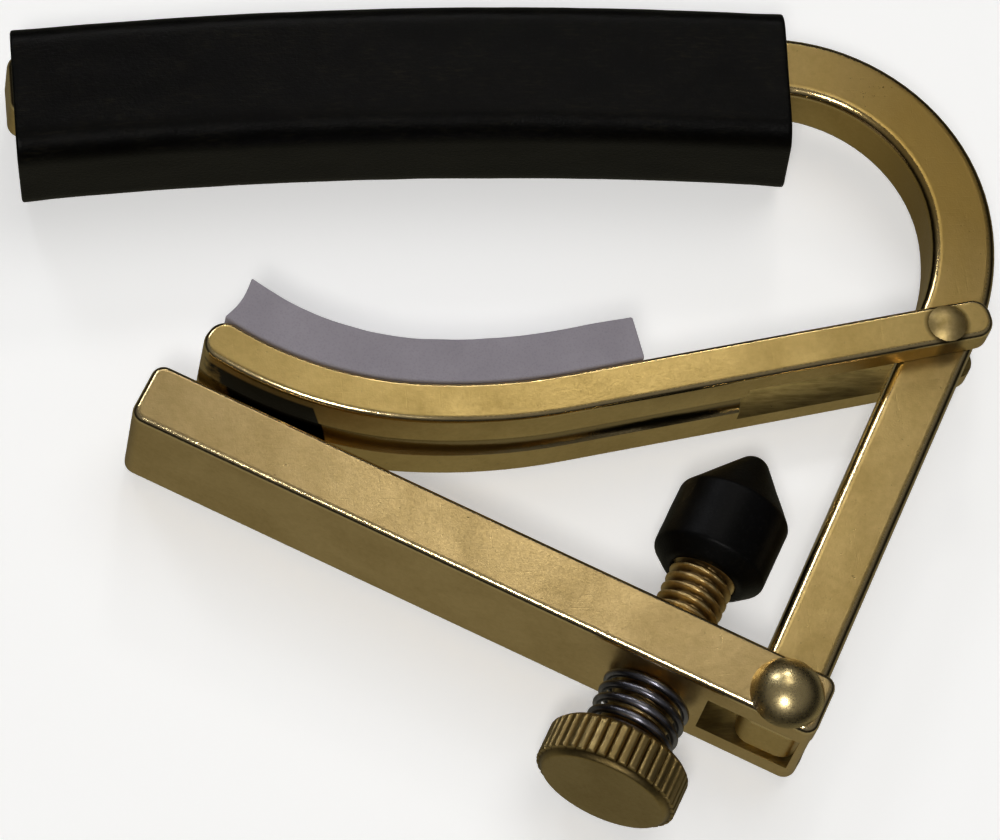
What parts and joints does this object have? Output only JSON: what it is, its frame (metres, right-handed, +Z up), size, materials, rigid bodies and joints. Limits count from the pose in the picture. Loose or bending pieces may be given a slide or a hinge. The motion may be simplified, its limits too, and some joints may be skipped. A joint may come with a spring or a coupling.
{
  "type": "guitar capo",
  "caption": "Lever-clamp guitar capo: bent brass frame with rubber sleeve, padded swinging arm, and a cam lever with a sprung, knurled adjusting screw.",
  "frame": {"origin": "centre of the whole capo's bounding box in X and Y, at the table it lies on", "axes": "+X along the string bar towards the bend, +Y from the lever towards the string bar, +Z up along both pivots"},
  "size_m": [0.0716, 0.063, 0.0116],
  "materials": {
    "brass_frame": "satin",
    "brass_arm": "satin",
    "brass_small": "polished",
    "black_rubber": "matte",
    "grey_pad": "matte",
    "black_plastic": "matte",
    "spring_steel": "bright"
  },
  "bodies": {
    "frame": {"frame_bar": "brass_frame", "bar_sleeve": "black_rubber", "upper_rivet": "brass_small", "lower_rivet": "brass_small"},
    "arm": {"clamp_arm": "brass_arm", "arm_pad": "grey_pad"},
    "lever": {"lever": "brass_frame", "screw_spring": "spring_steel"},
    "tip": {"screw_tip_cap": "black_plastic"},
    "screw": {"adjusting_screw": "brass_small"}
  },
  "joints": [
    {"name": "arm_pivot", "type": "hinge", "parent": "frame", "child": "arm", "pos_m": [0.03033, 0.00358, 0.00519], "axis": [0, 0, 1], "range_deg": [-13, 1.2]},
    {"name": "lever_pivot", "type": "hinge", "parent": "frame", "child": "lever", "pos_m": [0.01476, -0.02433, 0.00519], "axis": [0, 0, 1], "range_deg": [-1, 60]},
    {"name": "screw_travel", "type": "slide", "parent": "lever", "child": "tip", "axis": [0.5, 0.866, 0], "range_m": [-0.003, 0.0012], "deforming": ["screw_spring"]},
    {"name": "screw_turn", "type": "hinge", "parent": "tip", "child": "screw", "pos_m": [0.00721, -0.01997, 0.00519], "axis": [0.5, 0.866, 0], "range_deg": [-1362, 546]}
  ],
  "couplings": [
    {"joint": "screw_turn", "follows": "screw_travel", "rad_per_m": 7913.3}
  ]
}
